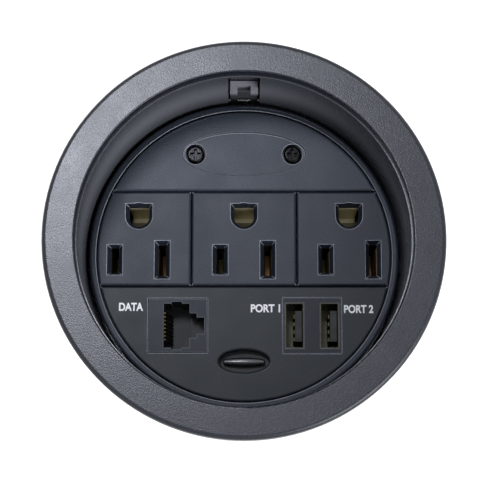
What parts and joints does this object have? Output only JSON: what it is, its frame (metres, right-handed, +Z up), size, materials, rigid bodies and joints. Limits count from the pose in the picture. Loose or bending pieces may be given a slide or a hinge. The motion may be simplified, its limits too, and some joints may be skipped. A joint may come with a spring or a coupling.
{
  "type": "in-desk power module",
  "caption": "Round in-desk power module: flanged threaded sleeve with a pull-up module of outlets, a data jack and charging ports.",
  "frame": {"origin": "centre of the flange's underside, which lies on the desk surface", "axes": "+Z up out of the desk along the sleeve's axis, +Y away from the user, +X to the user's right"},
  "size_m": [0.1016, 0.1016, 0.094],
  "materials": {
    "flange_plastic": "fine moulded texture",
    "sleeve_plastic": "smooth satin",
    "face_plastic": "fine moulded texture",
    "insert_plastic": "satin",
    "catch_plastic": "fine moulded texture",
    "shell_plastic": "moulded",
    "black_steel": "black zinc",
    "zinc_steel": "zinc plated",
    "port_steel": "nickel plated sheet",
    "contact_brass": "bright stamped strip",
    "gold_plate": "gold flash",
    "tongue_plastic": "glass filled nylon",
    "terminal_plastic": "nylon",
    "board_laminate": "solder mask",
    "transformer_tape": "polyester tape over ferrite",
    "capacitor_can": "sleeved can",
    "gland_nylon": "nylon",
    "grommet_rubber": "matt"
  },
  "bodies": {
    "housing": {"bezel": "flange_plastic", "sleeve": "sleeve_plastic", "catch_pin": "zinc_steel", "catch_spring": "zinc_steel"},
    "catch": {"catch": "catch_plastic"},
    "lock_ring": {"lock_ring": "shell_plastic"},
    "module": {"module_frame": "face_plastic", "upper_face_plate": "face_plastic", "lower_face_plate": "face_plastic", "face_screws": "black_steel", "hot_bus": "contact_brass", "neutral_bus": "contact_brass", "ground_bus": "contact_brass", "bus_cover": "terminal_plastic", "terminal_block": "terminal_plastic", "terminal_screws": "zinc_steel", "data_jack": "insert_plastic", "data_jack_contacts": "gold_plate", "data_jack_cap": "insert_plastic", "usb_insert": "insert_plastic", "charger_board": "board_laminate", "charger_transformer": "transformer_tape", "charger_capacitor": "capacitor_can", "rear_shell": "shell_plastic", "rear_cover": "shell_plastic", "rear_cover_screws": "zinc_steel", "cord_gland": "gland_nylon", "gland_nut": "gland_nylon", "gland_cap": "gland_nylon", "data_grommet": "grommet_rubber", "outlet_left": "face_plastic", "hot_contact_left": "contact_brass", "neutral_contact_left": "contact_brass", "ground_contact_left": "contact_brass", "outlet_centre": "face_plastic", "hot_contact_centre": "contact_brass", "neutral_contact_centre": "contact_brass", "ground_contact_centre": "contact_brass", "outlet_right": "face_plastic", "hot_contact_right": "contact_brass", "neutral_contact_right": "contact_brass", "ground_contact_right": "contact_brass", "usb_shell_1": "port_steel", "usb_tongue_1": "tongue_plastic", "usb_contacts_1": "gold_plate", "usb_shell_2": "port_steel", "usb_tongue_2": "tongue_plastic", "usb_contacts_2": "gold_plate"},
    "handle": {"pull_handle": "face_plastic", "handle_clips": "zinc_steel"}
  },
  "joints": [
    {"name": "module_lift", "type": "slide", "parent": "housing", "child": "module", "axis": [0, 0, 1], "range_m": [0, 0.028]},
    {"name": "handle_pull", "type": "slide", "parent": "module", "child": "handle", "axis": [0, 0, 1], "range_m": [0, 0.009]},
    {"name": "catch_swing", "type": "hinge", "parent": "housing", "child": "catch", "pos_m": [0, 0.0442, -0.03], "axis": [1, 0, 0], "range_deg": [0, 8.5], "stiffness_Nm_per_rad": 0.002, "springref_deg": -28.65},
    {"name": "ring_clamp", "type": "slide", "parent": "housing", "child": "lock_ring", "axis": [0, 0, 1], "range_m": [-0.031, 0.007]}
  ]
}
